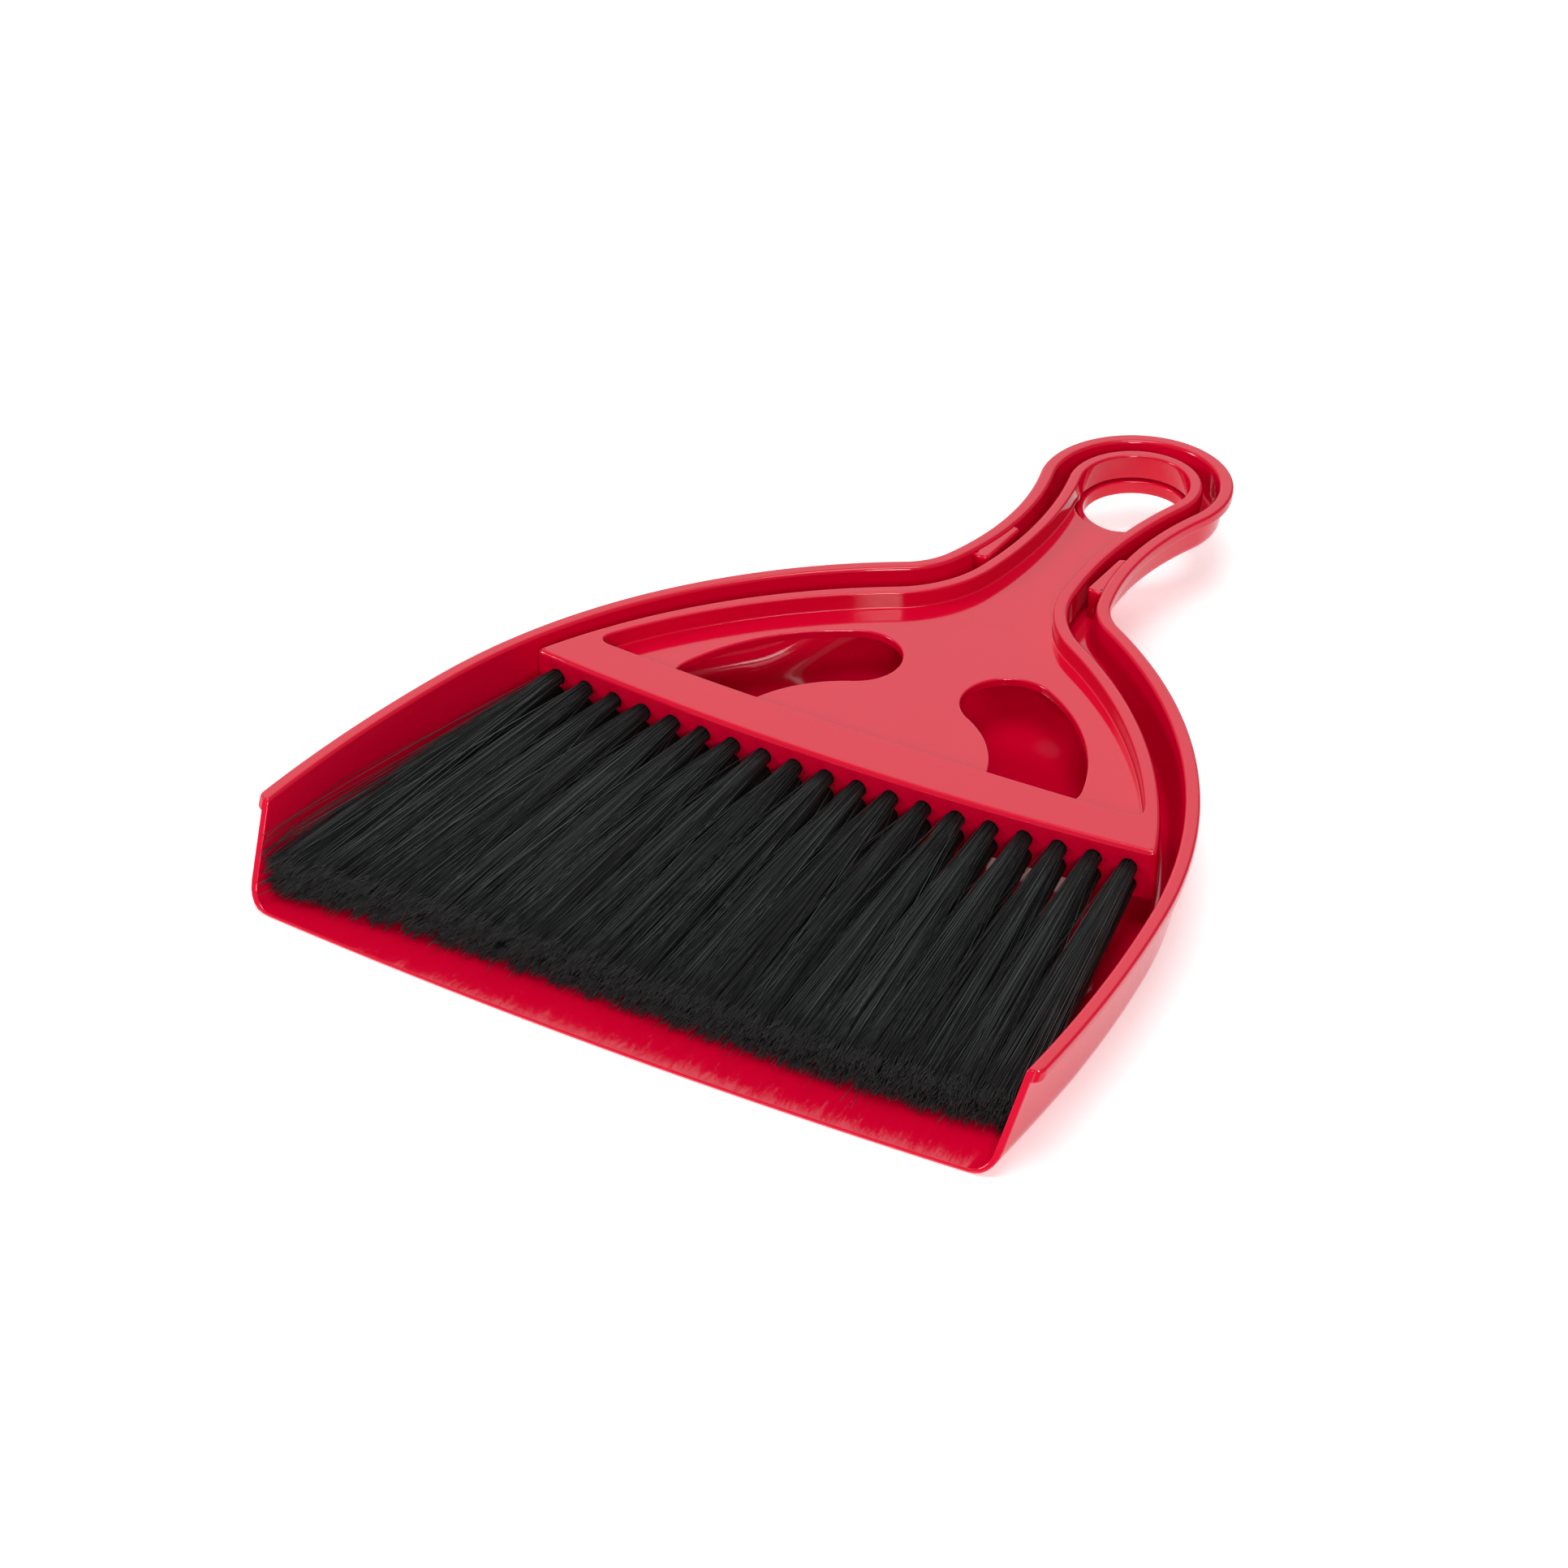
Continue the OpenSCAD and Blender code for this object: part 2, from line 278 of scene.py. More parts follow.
# Rows crowd together near the front, where the wall's end is raked and rounded.
front_rows = PAN_FRONT[1] + np.append(
    [0, 0.1, 0.3, 0.6, 1.0, 1.5, 2.2], 3 + 25 * np.linspace(0, 1, 11) ** 1.3)
keep = pan_side[:, 1] > front_rows[-1] + 1.5
pan_side = np.vstack([
    np.column_stack([np.interp(front_rows, pan_side[:, 1], pan_side[:, 0]), front_rows]), pan_side[keep]])
n_front = len(front_rows)
pan_inward = np.vstack([np.column_stack([-np.ones(n_front), np.zeros(n_front)]), pan_inward[keep]])

NOSE_R = 0.42
NUB_R = 2.2
pull = np.clip(1 - (pan_side[:, 1] - PAN_FRONT[1]) / 28, 0, 1)
row_y = pan_side[:, 1] - PAN_FRONT[1] * pull
section = wall_section(row_y, row_y)
# The flange's front end is a nub: in plan its outer edge runs into the wall along a quarter circle.
into_nub = np.clip(1 - (pan_side[:, 1] - PAN_FRONT[1]) / NUB_R, 0, 1)
proud = np.clip(wall_inset(section[..., 1]) - section[..., 0], 0, None)
section[..., 0] += 0.9 * proud * (1 - np.sqrt(1 - into_nub ** 2))[:, None]
wall_plan = pan_side[:, None] + section[..., :1] * pan_inward[:, None]
wall = np.dstack([wall_plan, section[..., 1:]])


def raked(points, pull):
    """Rows near the front, drawn forward onto the lip's bow and the walls' rake."""
    y = points[..., 1] + (front_y(points[..., 0], points[..., 2]) + NOSE_R - PAN_FRONT[1]) * pull
    return np.dstack([points[..., 0], y, points[..., 2]])


ACROSS = 25


def across(left, right):
    """Rows of ACROSS points from left to right, without the two ends."""
    share = np.linspace(0, 1, ACROSS)[1:-1, None]
    return left[:, None] * (1 - share) + right[:, None] * share


left_wall = mirrored(wall.reshape(-1, 3)).reshape(wall.shape)[::-1]
front_loop = np.concatenate([
    wall[:n_front],
    across(wall[:n_front, -1], left_wall[:n_front, 0]),
    left_wall[:n_front],
    across(left_wall[:n_front, -1], wall[:n_front, 0])], 1)
front_block = raked(front_loop, pull[:n_front, None])

# The nose: the front row's loop drawn in by a small radius, then closed by a flat end.
loop_xz = front_loop[0][:, [0, 2]]
tangent = np.roll(loop_xz, -1, 0) - np.roll(loop_xz, 1, 0)
inward = np.column_stack([tangent[:, 1], -tangent[:, 0]]) / np.linalg.norm(tangent, axis=1, keepdims=True)
if ((loop_xz[0] + inward[0] * 0.1)[1] > loop_xz[0, 1]) == (loop_xz[0, 1] < 3):
    inward = -inward
nose = []
for angle in np.radians([75, 50, 25, 0]):
    drawn = loop_xz + inward * NOSE_R * (1 - math.sin(angle))
    y = front_y(drawn[:, 0], drawn[:, 1]) + NOSE_R * (1 - math.cos(angle))
    nose.append(np.column_stack([drawn[:, 0], y, drawn[:, 1]]))
nose = np.array(nose[::-1])
cap_xz, cap_faces = filled([nose[0][:, [0, 2]]])
cap = np.column_stack([cap_xz[:, 0], front_y(cap_xz[:, 0], cap_xz[:, 1]), cap_xz[:, 1]])

# The wall from the end of the raked stretch round the ring to the other side.
wall_on = raked(wall, pull[:, None])[n_front - 1:]
wall_round = np.vstack([wall_on, mirrored(wall_on.reshape(-1, 3)).reshape(wall_on.shape)[:, ::-1][1:]])

# The floor and the underside: level rows from wall to wall, then a flat end round the hang hole.
circle = np.linspace(0, 2 * np.pi, 73)[:-1]
end_row = int(np.argmax(wall_on[:, 0, 1] > RING_Y - HANG_R - 8))


def plate(column, height, hole_r):
    """One skin of the floor between the walls' feet, with the ring's hole in its far end."""
    foot = wall_on[:, column]
    other = foot * [-1, 1, 1]
    share = np.linspace(0, 1, ACROSS)[:, None]
    rows = other[:end_row + 1, None] * (1 - share) + foot[:end_row + 1, None] * share
    ring_edge = np.column_stack([np.cos(circle), np.sin(circle)]) * hole_r + [0, RING_Y]
    outline = np.vstack([rows[-1][:, :2], foot[end_row + 1:, :2], mirrored(foot[end_row + 1:-1, :2])])
    return [grid(rows), lid([outline, ring_edge], height)]


hole_section = rounded(np.array([
    [HANG_R + COLLAR[0] + 0.8, TROUGH_Z + WALL], [HANG_R + COLLAR[0], TROUGH_Z + WALL],
    [HANG_R + COLLAR[0], COLLAR[1]], [HANG_R, COLLAR[1]], [HANG_R, TROUGH_Z], [HANG_R + 1.2, TROUGH_Z]]),
    [0.3, 0.4, 0.4, 0.5])
hole = np.stack([
    np.outer(np.cos(circle), hole_section[:, 0]),
    RING_Y + np.outer(np.sin(circle), hole_section[:, 0]),
    np.broadcast_to(hole_section[:, 1], (len(circle), len(hole_section)))], -1)


def closed_normals(loop):
    """Inward normals of a closed plan loop that runs anticlockwise."""
    along = np.roll(loop, -1, 0) - np.roll(loop, 1, 0)
    return np.column_stack([-along[:, 1], along[:, 0]]) / np.linalg.norm(along, axis=1, keepdims=True)


def strip(loop, profile, normals=None):
    """A closed loop carried through a profile of (inset, height), one profile or one per point."""
    normals = closed_normals(loop) if normals is None else normals
    profile = np.broadcast_to(profile, (len(loop), *profile.shape[-2:]))
    plan = loop[:, None] + normals[:, None] * profile[..., :1]
    return np.dstack([plan, profile[..., 1:]])


PAD_X = 15.5
PAD_Y = (219.0, 238.0)
PAD_R = 1.4


def pad(side):
    """A retaining pad on the wall of the trough: a closed block between a flat inner face and the
    middle of the wall, with rounded upright corners and a rounded top edge."""
    y = np.linspace(PAD_Y[0], PAD_Y[1], 15)
    back = np.interp(y, *(pan_side + 3.7 * pan_inward).T[::-1])
    x0, (y0, y1), r = PAD_X, PAD_Y, PAD_R
    turn = np.linspace(0, np.pi / 2, 6)
    low = np.column_stack([x0 + r - r * np.sin(turn), y0 + r - r * np.cos(turn)])
    high = np.column_stack([x0 + r - r * np.cos(turn), y1 - r + r * np.sin(turn)])
    loop = np.vstack([np.column_stack([back, y]), high[::-1], low[::-1]])
    loop = loop if side > 0 else mirrored(loop)
    foot, top = TROUGH_Z + 1, RIM_Z - 0.7
    profile = rounded(np.array([[0.0, foot], [0.0, top], [1.2, top]]), [0.9])
    rings = strip(loop, profile)
    return [grid(rings, close_rows=True),
            lid([rings[:, -1, :2]], lambda y: np.full(len(y), top)),
            lid([rings[:, 0, :2]], lambda y: np.full(len(y), foot))]


pads = [part for side in (-1, 1) for part in pad(side)]


def linear(hex_colour):
    """An sRGB hex colour as linear red, green, blue and 1."""
    channels = [int(hex_colour[i:i + 2], 16) / 255 for i in (1, 3, 5)]
    return [c / 12.92 if c <= 0.04045 else ((c + 0.055) / 1.055) ** 2.4 for c in channels] + [1]


def add_node(material, kind, inputs=None, links=None, **settings):
    """Adds a node with its settings, its socket values and its links from other nodes' sockets."""
    node = material.node_tree.nodes.new(kind)
    for key, value in settings.items():
        setattr(node, key, value)
    for key, value in (inputs or {}).items():
        node.inputs[key].default_value = value
    for key, socket in (links or {}).items():
        material.node_tree.links.new(socket, node.inputs[key])
    return node


def new_material(name):
    """An empty node material and its output's surface socket."""
    material = bpy.data.materials.new(name)
    material.use_nodes = True
    material.node_tree.nodes.clear()
    return material, add_node(material, "ShaderNodeOutputMaterial")


def polypropylene(name, colour, top_z):
    """Injection-moulded polypropylene. The tool is polished, which leaves a glossy skin with a slow
    waviness from shrinkage over 20 to 30 mm and a faint grain of about 0.4 mm; the top faces come
    from a finely blasted part of the tool and are satin."""
    material, output = new_material(name)
    place = add_node(material, "ShaderNodeTexCoord").outputs["Object"]
    height = add_node(material, "ShaderNodeSeparateXYZ", links={"Vector": place}).outputs["Z"]
    satin = add_node(material, "ShaderNodeMapRange", {
        "From Min": (top_z - 0.35) * MM, "From Max": (top_z - 0.05) * MM}, {"Value": height}).outputs[0]
    cloud = add_node(material, "ShaderNodeTexNoise", {
        "Scale": 1 / (25 * MM), "Detail": 2.0}, {"Vector": place})
    grain = add_node(material, "ShaderNodeTexNoise", {
        "Scale": 1 / (0.4 * MM), "Detail": 3.0}, {"Vector": place})
    glossy = add_node(material, "ShaderNodeMapRange", {"To Min": 0.06, "To Max": 0.12}, {
        "Value": cloud.outputs["Fac"]}).outputs[0]
    rough = add_node(material, "ShaderNodeMix", {3: 0.3}, {0: satin, 2: glossy}).outputs[0]
    tint = add_node(material, "ShaderNodeMix", {
        "A": [c * 0.95 for c in linear(colour)[:3]] + [1], "B": linear(colour)},
        {"Factor": cloud.outputs["Fac"]}, data_type="RGBA")
    waves = add_node(material, "ShaderNodeBump", {"Strength": 0.1, "Distance": 0.4 * MM}, {
        "Height": cloud.outputs["Fac"]})
    skin = add_node(material, "ShaderNodeBump", {"Strength": 0.04, "Distance": 0.02 * MM}, {
        "Height": grain.outputs["Fac"], "Normal": waves.outputs[0]})
    shader = add_node(material, "ShaderNodeBsdfPrincipled", {"IOR": 1.49}, {
        "Base Color": tint.outputs["Result"], "Roughness": rough, "Normal": skin.outputs[0]})
    material.node_tree.links.new(shader.outputs[0], output.inputs["Surface"])
    return material


red_pan = polypropylene("polypropylene_red_pan", "#d8002e", RIM_Z)
piece("pan_moulding", [
    grid(front_block, close_columns=True),
    grid(np.vstack([nose, front_block[:1]]), close_columns=True),
    (cap, cap_faces),
    grid(wall_round),
    *plate(0, lambda y: np.full(len(y), TROUGH_Z + WALL), HANG_R + COLLAR[0] + 0.8),
    *plate(-1, lambda y: np.full(len(y), TROUGH_Z), HANG_R + 1.2),
    grid(hole, close_rows=True),
    *pads], red_pan, "pan", "pan", "pan")

# ---------------------------------------------------------------------------------------------
# Brush block: one moulding in the same red. A solid beam takes the tufts, behind it a thin web
# with two curved windows lies in a raised border, and the border runs on round the grip to a ring.
BEAM_Z = RIM_Z - 14.9
GRIP_Z = RIM_Z - 7.6
WEB_Z = RIM_Z - 4.8
WEB_LOW_Z = WEB_Z - 2.4
BLOCK_FRONT = (94.0, 113.3)
BLOCK_HEADING = 112.0
BLOCK_ARCS = ((170.6, 34.9, 54), (32.0, -47.2, 16), (124.4, -26.2, 30))
BLOCK_RING_STEPS = 34
BEAM_FRONT = (108.2, 800.0)                 # crown and radius of the beam's front face
BEAM_BACK = (124.0, 1400.0)
BORDER = (4.1, 3.7)                         # width of the border, beside the web and at the ring
SKIRT = 2.2
WINDOW_CENTRE = np.array([0.0, 118.0])
WINDOW_R = (37.4, 62.8)
WINDOW_END = 62.0
TUFTS = 19
PITCH = 9.6
ROW_Z = (RIM_Z - 6, RIM_Z - 11)
TIP_PITCH = 11.3
TIP_Y = 14.5
TIP_Z = (10.0, 4.85)
BORE_R = 2.25
BORE_DEPTH = 10.0


def soft_corner(before, corner, after, reach, steps=7):
    """Points round a corner, as a parabola from reach before it to reach after it."""
    a = corner + (before - corner) / np.linalg.norm(before - corner) * reach
    b = corner + (after - corner) / np.linalg.norm(after - corner) * reach
    t = np.linspace(0, 1, steps)[:, None]
    return (1 - t) ** 2 * a + 2 * t * (1 - t) * corner + t ** 2 * b


def with_front(side, front, reach, step):
    """Closes a side and its mirror image by a shallow arc (crown, radius) across the front, with
    soft corners. The loop runs anticlockwise from the right corner."""
    crown, radius = front
    gap = side[:, 1] - crown - bow(radius, np.clip(side[:, 0], -radius, radius))
    first = int(np.argmax(gap > 0))
    share = gap[first] / (gap[first] - gap[first - 1]) if first else 0.0
    corner = side[first] + (side[first - 1] - side[first]) * share if first else side[0]
    x = np.arange(0, corner[0] - reach, step)
    x = np.append(x, corner[0] - reach)
    half = np.column_stack([x, crown + bow(radius, x)])
    turn = soft_corner(half[-1], corner, side[first + 3], reach)
    onward = side[np.linalg.norm(side - corner, axis=1) > reach + 0.4]
    onward = onward[onward[:, 1] > corner[1]]
    right = np.vstack([half[:-1], turn, onward])
    return np.vstack([right, mirrored(right[1:-1])]), len(half) - 1


def ease(value, low, high):
    """0 below low, 1 above high, and a smooth step between."""
    share = np.clip((value - low) / (high - low), 0, 1)
    return share * share * (3 - 2 * share)


def block_underside(y):
    """The underside of the border: level under the beam, then up to the thin grip."""
    share = np.clip((y - 130) / 60, 0, 1)
    return BEAM_Z + (GRIP_Z - BEAM_Z) * (1 - np.cos(np.pi * share)) / 2


block_side, block_inward = side_line(BLOCK_FRONT, BLOCK_HEADING, BLOCK_ARCS, BLOCK_RING_STEPS)
run_in = np.array([math.cos(math.radians(BLOCK_HEADING)), math.sin(math.radians(BLOCK_HEADING))])


def block_line(inset):
    """The block's side moved inwards by an inset, one value or one per point, with its run-in."""
    moved = block_side + block_inward * np.broadcast_to(inset, len(block_side))[:, None]
    return np.vstack([moved[0] - 6 * run_in, moved])


# Outer skin, from the top edge round to the underside. The front face is left open for the bores.
outer, n_face = with_front(block_line(0), BEAM_FRONT, 2.2, 1.6)
under = block_underside(outer[:, 1])
one = np.ones(len(outer))
outer_profile = rounded(np.stack([
    np.stack([3.2 * one, RIM_Z * one], -1),
    np.stack([0 * one, RIM_Z * one], -1),
    np.stack([0 * one, under], -1),
    np.stack([1.6 * one, under], -1)], 1), [1.3 * one, 0.7 * one])
skin = strip(outer, outer_profile)
skin = skin[:, 1:-1]
skin_points, skin_quads = grid(skin, close_rows=True)
columns = skin.shape[1]
gap = 8                                     # the tall quad lies between the two roundings' supports
quad_row = np.arange(len(skin_quads)) // (columns - 1)
quad_column = np.arange(len(skin_quads)) % (columns - 1)
face_rows = (quad_row < n_face) | (quad_row >= len(outer) - n_face)
skin_quads = skin_quads[~(face_rows & (quad_column == gap))]


def root(row, i):
    """Middle of bore i of a row, on the beam's front face."""
    return np.array([PITCH * i, BEAM_FRONT[0] + bow(BEAM_FRONT[1], PITCH * i), ROW_Z[row]])


def tip(row, i):
    """Middle of the spread end of tuft i of a row."""
    return np.array([TIP_PITCH * i, TIP_Y, TIP_Z[row]])


bore_turn = np.linspace(0, 2 * np.pi, 25)[:-1]
bore_ring = np.column_stack([np.cos(bore_turn), np.sin(bore_turn)])
places = [(row, i) for row in (0, 1) for i in range(-(TUFTS // 2), TUFTS // 2 + 1)]
face_right = skin[:n_face + 1]
face_left = skin[len(outer) - n_face:]
face_run = np.vstack([face_left, face_right])
face_loop = np.vstack([face_run[:, gap][:, [0, 2]], face_run[::-1, gap + 1][:, [0, 2]]])
bores, bore_edges = [], []
bore_steps = (
    (BORE_R + 0.3, 0.0), (BORE_R + 0.06, 0.1), (BORE_R, 0.35), (BORE_R, BORE_DEPTH), (0.0, BORE_DEPTH))
for row, i in places:
    middle = root(row, i)
    along = (tip(row, i) - middle) / np.linalg.norm(tip(row, i) - middle)
    rings = []
    for radius, depth in bore_steps:
        x, z = middle[0] + radius * bore_ring[:, 0], middle[2] + radius * bore_ring[:, 1]
        ring = np.column_stack([x, BEAM_FRONT[0] + bow(BEAM_FRONT[1], x), z]) - along * depth
        rings.append(ring)
    bore_edges.append(rings[0][:, [0, 2]])
    bores.append(grid(np.array(rings), close_columns=True))
face_xz, face_triangles = filled([face_loop, *bore_edges])
face = np.column_stack([face_xz[:, 0], BEAM_FRONT[0] + bow(BEAM_FRONT[1], face_xz[:, 0]), face_xz[:, 1]])

# Recess: the border's inner edge. Beside the web it ends in a fillet, round the ring it drops away.
border = BORDER[0] + (BORDER[1] - BORDER[0]) * ease(block_side[:, 1], 195, 240)
recess, _ = with_front(block_line(border), BEAM_BACK, 5.5, 2.0)
recess_normals = closed_normals(recess)
JOIN_Y = 268.0
in_ring = recess[:, 1] > JOIN_Y
ring_index = np.flatnonzero(in_ring)
join_right, join_left = recess[ring_index[0]], recess[ring_index[-1]]
from_join = np.minimum(
    np.linalg.norm(recess - join_right, axis=1), np.linalg.norm(recess - join_left, axis=1))
fillet = 0.4 * np.clip(from_join / 4, 0, 1)
top_edge = rounded(np.array([[-1.6, RIM_Z], [0, RIM_Z], [0, WEB_Z + 0.7]]), [0.6])[1:]
recess_wall = strip(recess, top_edge, recess_normals)
curve = np.linspace(0, np.pi / 2, 6)
foot_profile = np.stack([
    np.column_stack([fillet * (1 - math.cos(a)) for a in curve] + [fillet * 1.5]),
    np.column_stack([WEB_Z + fillet * (1 - math.sin(a)) for a in curve] + [
        np.full(len(recess), WEB_Z)])], -1)
foot_profile = np.concatenate([np.broadcast_to([[0, WEB_Z + 0.7]], (len(recess), 1, 2)), foot_profile], 1)
recess_foot = strip(recess, foot_profile, recess_normals)
web_run = np.concatenate([np.arange(ring_index[-1], len(recess)), np.arange(0, ring_index[0] + 1)])
web_foot = recess_foot[web_run]
ring_run = ring_index
ring_drop = np.stack([
    np.column_stack([recess[ring_run], np.full(len(ring_run), WEB_Z + 0.7)]),
    np.column_stack([recess[ring_run], np.full(len(ring_run), WEB_Z)])], 1)

# Near edge of the opening to hang by: a hollow arc across the web between the ring's two sides.
slot_y = 256.0
arc_y = (join_right[0] ** 2 + join_right[1] ** 2 - slot_y ** 2) / (2 * (join_right[1] - slot_y))
arc_r = arc_y - slot_y
arc_start = math.atan2(join_left[1] - arc_y, join_left[0]) % (2 * np.pi)
arc_end = math.atan2(join_right[1] - arc_y, join_right[0]) % (2 * np.pi)
if arc_end < arc_start:
    arc_end += 2 * np.pi
arc_turn = np.linspace(arc_start, arc_end, 37)
near_arc = np.column_stack([np.cos(arc_turn), np.sin(arc_turn)]) * arc_r + [0, arc_y]
near_arc[0], near_arc[-1] = join_left, join_right
arc_inward = -np.column_stack([np.cos(arc_turn), np.sin(arc_turn)])
arc_soft = 0.5 * np.clip(np.minimum(np.arange(37), np.arange(37)[::-1]) / 6, 0, 1)
arc_profile = np.stack([
    np.column_stack([-arc_soft * 1.6] + [-arc_soft * (1 - math.sin(a)) for a in curve]),
    np.column_stack([np.full(37, WEB_Z)] + [WEB_Z - arc_soft * (1 - math.cos(a)) for a in curve])], -1)
arc_edge = strip(near_arc, arc_profile, arc_inward)
slot_loop = np.vstack([near_arc[:-1], recess[ring_run][:-1]])
slot_top = np.append(WEB_Z - arc_soft[:-1], np.full(len(ring_run) - 1, WEB_Z))
slot_ones = np.ones(len(slot_loop))
slot_low = rounded(np.stack([
    np.stack([0 * slot_ones, slot_top], -1),
    np.stack([0 * slot_ones, WEB_LOW_Z * slot_ones], -1),
    np.stack([-1.0 * slot_ones, WEB_LOW_Z * slot_ones], -1)], 1), [0.25 * slot_ones])
slot_wall = strip(slot_loop, slot_low)


def window(s):
    """Plan of a curved window on the side s: two arcs about one centre, a round far end, and a
    straight near end with soft corners."""
    inner_r, outer_r = WINDOW_R
    near = np.array([[math.sqrt(r ** 2 - 81), 9.0] for r in WINDOW_R])
    far = math.radians(WINDOW_END)
    start = [math.atan2(9.0, p[0]) + reach / r for p, reach, r in zip(near, (4, 8.5), WINDOW_R)]
    outer_turn, inner_turn = np.linspace(start[1], far, 26), np.linspace(far, start[0], 16)
    outer_arc = outer_r * np.column_stack([np.cos(outer_turn), np.sin(outer_turn)])
    inner_arc = inner_r * np.column_stack([np.cos(inner_turn), np.sin(inner_turn)])
    end_turn = far + np.linspace(0, np.pi, 22)[1:-1]
    middle, half = (inner_r + outer_r) / 2, (outer_r - inner_r) / 2
    end = middle * np.array([math.cos(far), math.sin(far)]) + half * np.column_stack([
        np.cos(end_turn), np.sin(end_turn)])
    inner_corner = soft_corner(inner_arc[-1], near[0], near[1], 4)
    outer_corner = soft_corner(near[0], near[1], outer_arc[0], 8.5, 9)
    loop = np.vstack([outer_arc, end, inner_arc, inner_corner[1:], outer_corner[:-1]]) + WINDOW_CENTRE
    return loop if s > 0 else mirrored(loop)


window_profile = rounded(np.array([
    [-1.2, WEB_Z], [0, WEB_Z], [0, WEB_LOW_Z], [-1.0, WEB_LOW_Z]]), [0.55, 0.3])[1:-1]
windows = [strip(window(s), window_profile) for s in (-1, 1)]

# Underside: the skirt's inner edge, up to the underside of the web.
inner_skirt, _ = with_front(block_line(SKIRT), (BEAM_BACK[0] + SKIRT, BEAM_BACK[1]), 3.0, 2.5)
skirt_ones = np.ones(len(inner_skirt))
skirt_profile = rounded(np.stack([
    np.stack([-0.6 * skirt_ones, block_underside(inner_skirt[:, 1])], -1),
    np.stack([0 * skirt_ones, block_underside(inner_skirt[:, 1])], -1),
    np.stack([0 * skirt_ones, WEB_LOW_Z * skirt_ones], -1),
    np.stack([0.6 * skirt_ones, WEB_LOW_Z * skirt_ones], -1)], 1), [0.05 * skirt_ones, 0.05 * skirt_ones], 2)
skirt_profile = skirt_profile[:, [0, 2, 3, 4, 7, 8, 9, 11]]
skirt_wall = strip(inner_skirt, skirt_profile)

web_outline = np.vstack([web_foot[:, -1, :2], arc_edge[::-1, 0, :2][1:-1]])
red_block = polypropylene("polypropylene_red_block", "#d8002e", RIM_Z)
piece("brush_block_moulding", [
    (skin_points, skin_quads),
    (face, face_triangles), *bores,
    lid([skin[:, 0, :2], recess_wall[:, 0, :2]], lambda y: np.full(len(y), RIM_Z)),
    grid(recess_wall, close_rows=True), grid(web_foot), grid(ring_drop), grid(arc_edge),
    lid([web_outline, *[w[:, 0, :2] for w in windows]], lambda y: np.full(len(y), WEB_Z)),
    *[grid(w, close_rows=True) for w in windows],
    grid(slot_wall, close_rows=True),
    lid([skirt_wall[:, -1, :2], slot_wall[:, -1, :2], *[w[:, -1, :2] for w in windows]],
        lambda y: np.full(len(y), WEB_LOW_Z)),
    grid(skirt_wall, close_rows=True),
    lid([skin[:, -1, :2], skirt_wall[:, 0, :2]], block_underside),
], red_block, "brush", "block", "brush_block")

# ---------------------------------------------------------------------------------------------
# Tufts: bundles of black PET filament, folded in half and driven into the bores. Outside the beam
# each bundle spreads like a fan, lies down on the pan's floor, and is trimmed to a ragged line.
HAIRS = 280
HAIR_R = 0.13
LOCKS = 16
HAIR_STEPS = np.array([0, 0.12, 0.3, 0.5, 0.7, 0.87, 0.96, 1.0])


def pet_filament():
    """Extruded PET filament, dyed through: near black, smooth along each hair. An attribute of the mesh
    says how pale a hair is: a few pale hairs paint sheen streaks; painted shade darkens roots and cut ends."""
    material, output = new_material("pet_filament_black")
    painted_sheen_and_shade = add_node(material, "ShaderNodeAttribute", attribute_name="painted_sheen_and_shade").outputs["Fac"]
    # Painted light: the pale colour paints sheen streaks on a few hairs, and the near-black one is also the
    # painted shade at roots and cut ends.
    tint = add_node(material, "ShaderNodeMix", {"A": linear("#030303"), "B": linear("#565b5b")}, {
        "Factor": painted_sheen_and_shade}, data_type="RGBA")
    rough = add_node(material, "ShaderNodeMapRange", {
        "To Min": 0.6, "To Max": 0.32}, {"Value": painted_sheen_and_shade}).outputs[0]
    shader = add_node(material, "ShaderNodeBsdfPrincipled", {"IOR": 1.57}, {
        "Base Color": tint.outputs["Result"], "Roughness": rough})
    material.node_tree.links.new(shader.outputs[0], output.inputs["Surface"])
    return material


def lowest(points):
    """Height of the pan's inside under each point: the floor, and the round of the wall's foot."""
    edge = np.interp(points[..., 1], row_y, pan_side[:, 0]) - wall_inset(2.0) - WALL - 6.0
    past = np.clip(np.abs(points[..., 0]) - edge, 0, 5.8)
    return floor_z(points[..., 1]) + 6.0 - np.sqrt(36.0 - past ** 2)


def hair_tubes(paths, radius):
    """Three-sided tubes along paths, hairs by rings by 3, tapering a little and closed at both ends:
    each ring is the path's point plus radius times (side cos a + up sin a)."""
    along = np.gradient(paths, axis=1)
    along /= np.linalg.norm(along, axis=2, keepdims=True)
    side_way = np.cross(along, [0, 0, 1.0])
    side_way /= np.linalg.norm(side_way, axis=2, keepdims=True)
    up = np.cross(side_way, along)
    turn = np.radians([90, 210, 330])
    taper = np.linspace(1, 0.75, paths.shape[1])[None, :, None, None]
    ring = side_way[:, :, None] * np.cos(turn)[:, None] + up[:, :, None] * np.sin(turn)[:, None]
    points = paths[:, :, None] + radius[:, None, None, None] * taper * ring
    hairs, rings = paths.shape[:2]
    index = np.arange(hairs * rings * 3).reshape(hairs, rings, 3)
    after = np.roll(index, -1, 2)
    quads = np.stack([index[:, :-1], after[:, :-1], after[:, 1:], index[:, 1:]], -1).reshape(-1, 4)
    caps = np.concatenate([index[:, -1], index[:, 0, ::-1]])
    return points.reshape(-1, 3), quads, caps


